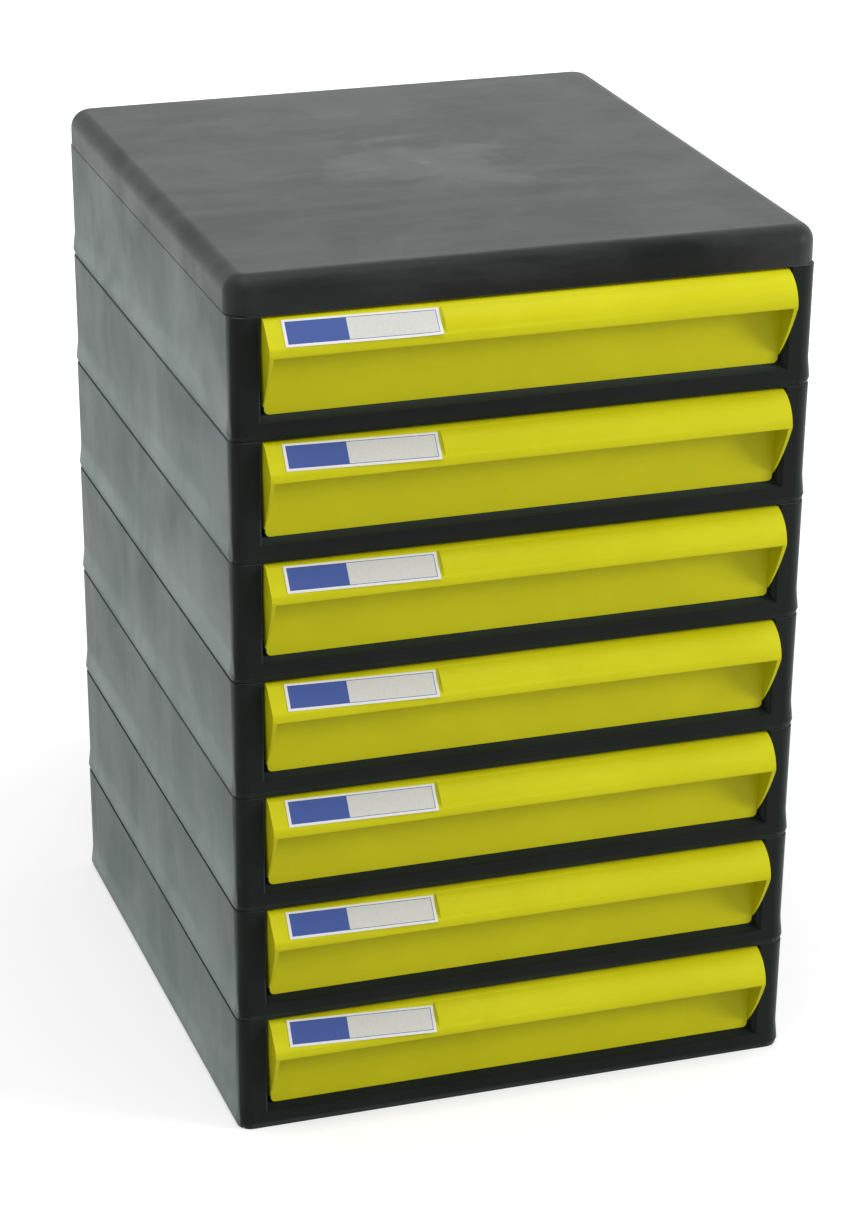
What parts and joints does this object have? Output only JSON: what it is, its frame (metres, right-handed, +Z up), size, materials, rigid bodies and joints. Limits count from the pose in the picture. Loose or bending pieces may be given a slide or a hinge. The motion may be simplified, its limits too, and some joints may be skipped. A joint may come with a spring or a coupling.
{
  "type": "desktop drawer cabinet",
  "caption": "Desktop drawer cabinet of stacked moulded tiers with sliding trays, hooked full-width pulls, label flats and a rounded cover.",
  "frame": {"origin": "on the table, under the middle of the whole object, pulls included", "axes": "+Z up, +X to the right seen from the front, drawers open towards -Y"},
  "size_m": [0.29, 0.329, 0.439],
  "materials": {
    "cabinet": "satin black moulded polystyrene",
    "drawer": "satin yellow moulded polystyrene",
    "label": "card label with a plain blue block and a blank writing field"
  },
  "bodies": {
    "cabinet": {"lid": "cabinet", "tier_frame_1": "cabinet", "tier_frame_2": "cabinet", "tier_frame_3": "cabinet", "tier_frame_4": "cabinet", "tier_frame_5": "cabinet", "tier_frame_6": "cabinet", "tier_frame_7": "cabinet"},
    "drawer_1": {"drawer_1": "drawer", "label_1": "label"},
    "drawer_2": {"drawer_2": "drawer", "label_2": "label"},
    "drawer_3": {"drawer_3": "drawer", "label_3": "label"},
    "drawer_4": {"drawer_4": "drawer", "label_4": "label"},
    "drawer_5": {"drawer_5": "drawer", "label_5": "label"},
    "drawer_6": {"drawer_6": "drawer", "label_6": "label"},
    "drawer_7": {"drawer_7": "drawer", "label_7": "label"}
  },
  "joints": [
    {"name": "drawer_1_slide", "type": "slide", "parent": "cabinet", "child": "drawer_1", "axis": [0, -1, 0], "range_m": [0, 0.224]},
    {"name": "drawer_2_slide", "type": "slide", "parent": "cabinet", "child": "drawer_2", "axis": [0, -1, 0], "range_m": [0, 0.224]},
    {"name": "drawer_3_slide", "type": "slide", "parent": "cabinet", "child": "drawer_3", "axis": [0, -1, 0], "range_m": [0, 0.224]},
    {"name": "drawer_4_slide", "type": "slide", "parent": "cabinet", "child": "drawer_4", "axis": [0, -1, 0], "range_m": [0, 0.224]},
    {"name": "drawer_5_slide", "type": "slide", "parent": "cabinet", "child": "drawer_5", "axis": [0, -1, 0], "range_m": [0, 0.224]},
    {"name": "drawer_6_slide", "type": "slide", "parent": "cabinet", "child": "drawer_6", "axis": [0, -1, 0], "range_m": [0, 0.224]},
    {"name": "drawer_7_slide", "type": "slide", "parent": "cabinet", "child": "drawer_7", "axis": [0, -1, 0], "range_m": [0, 0.224]}
  ]
}
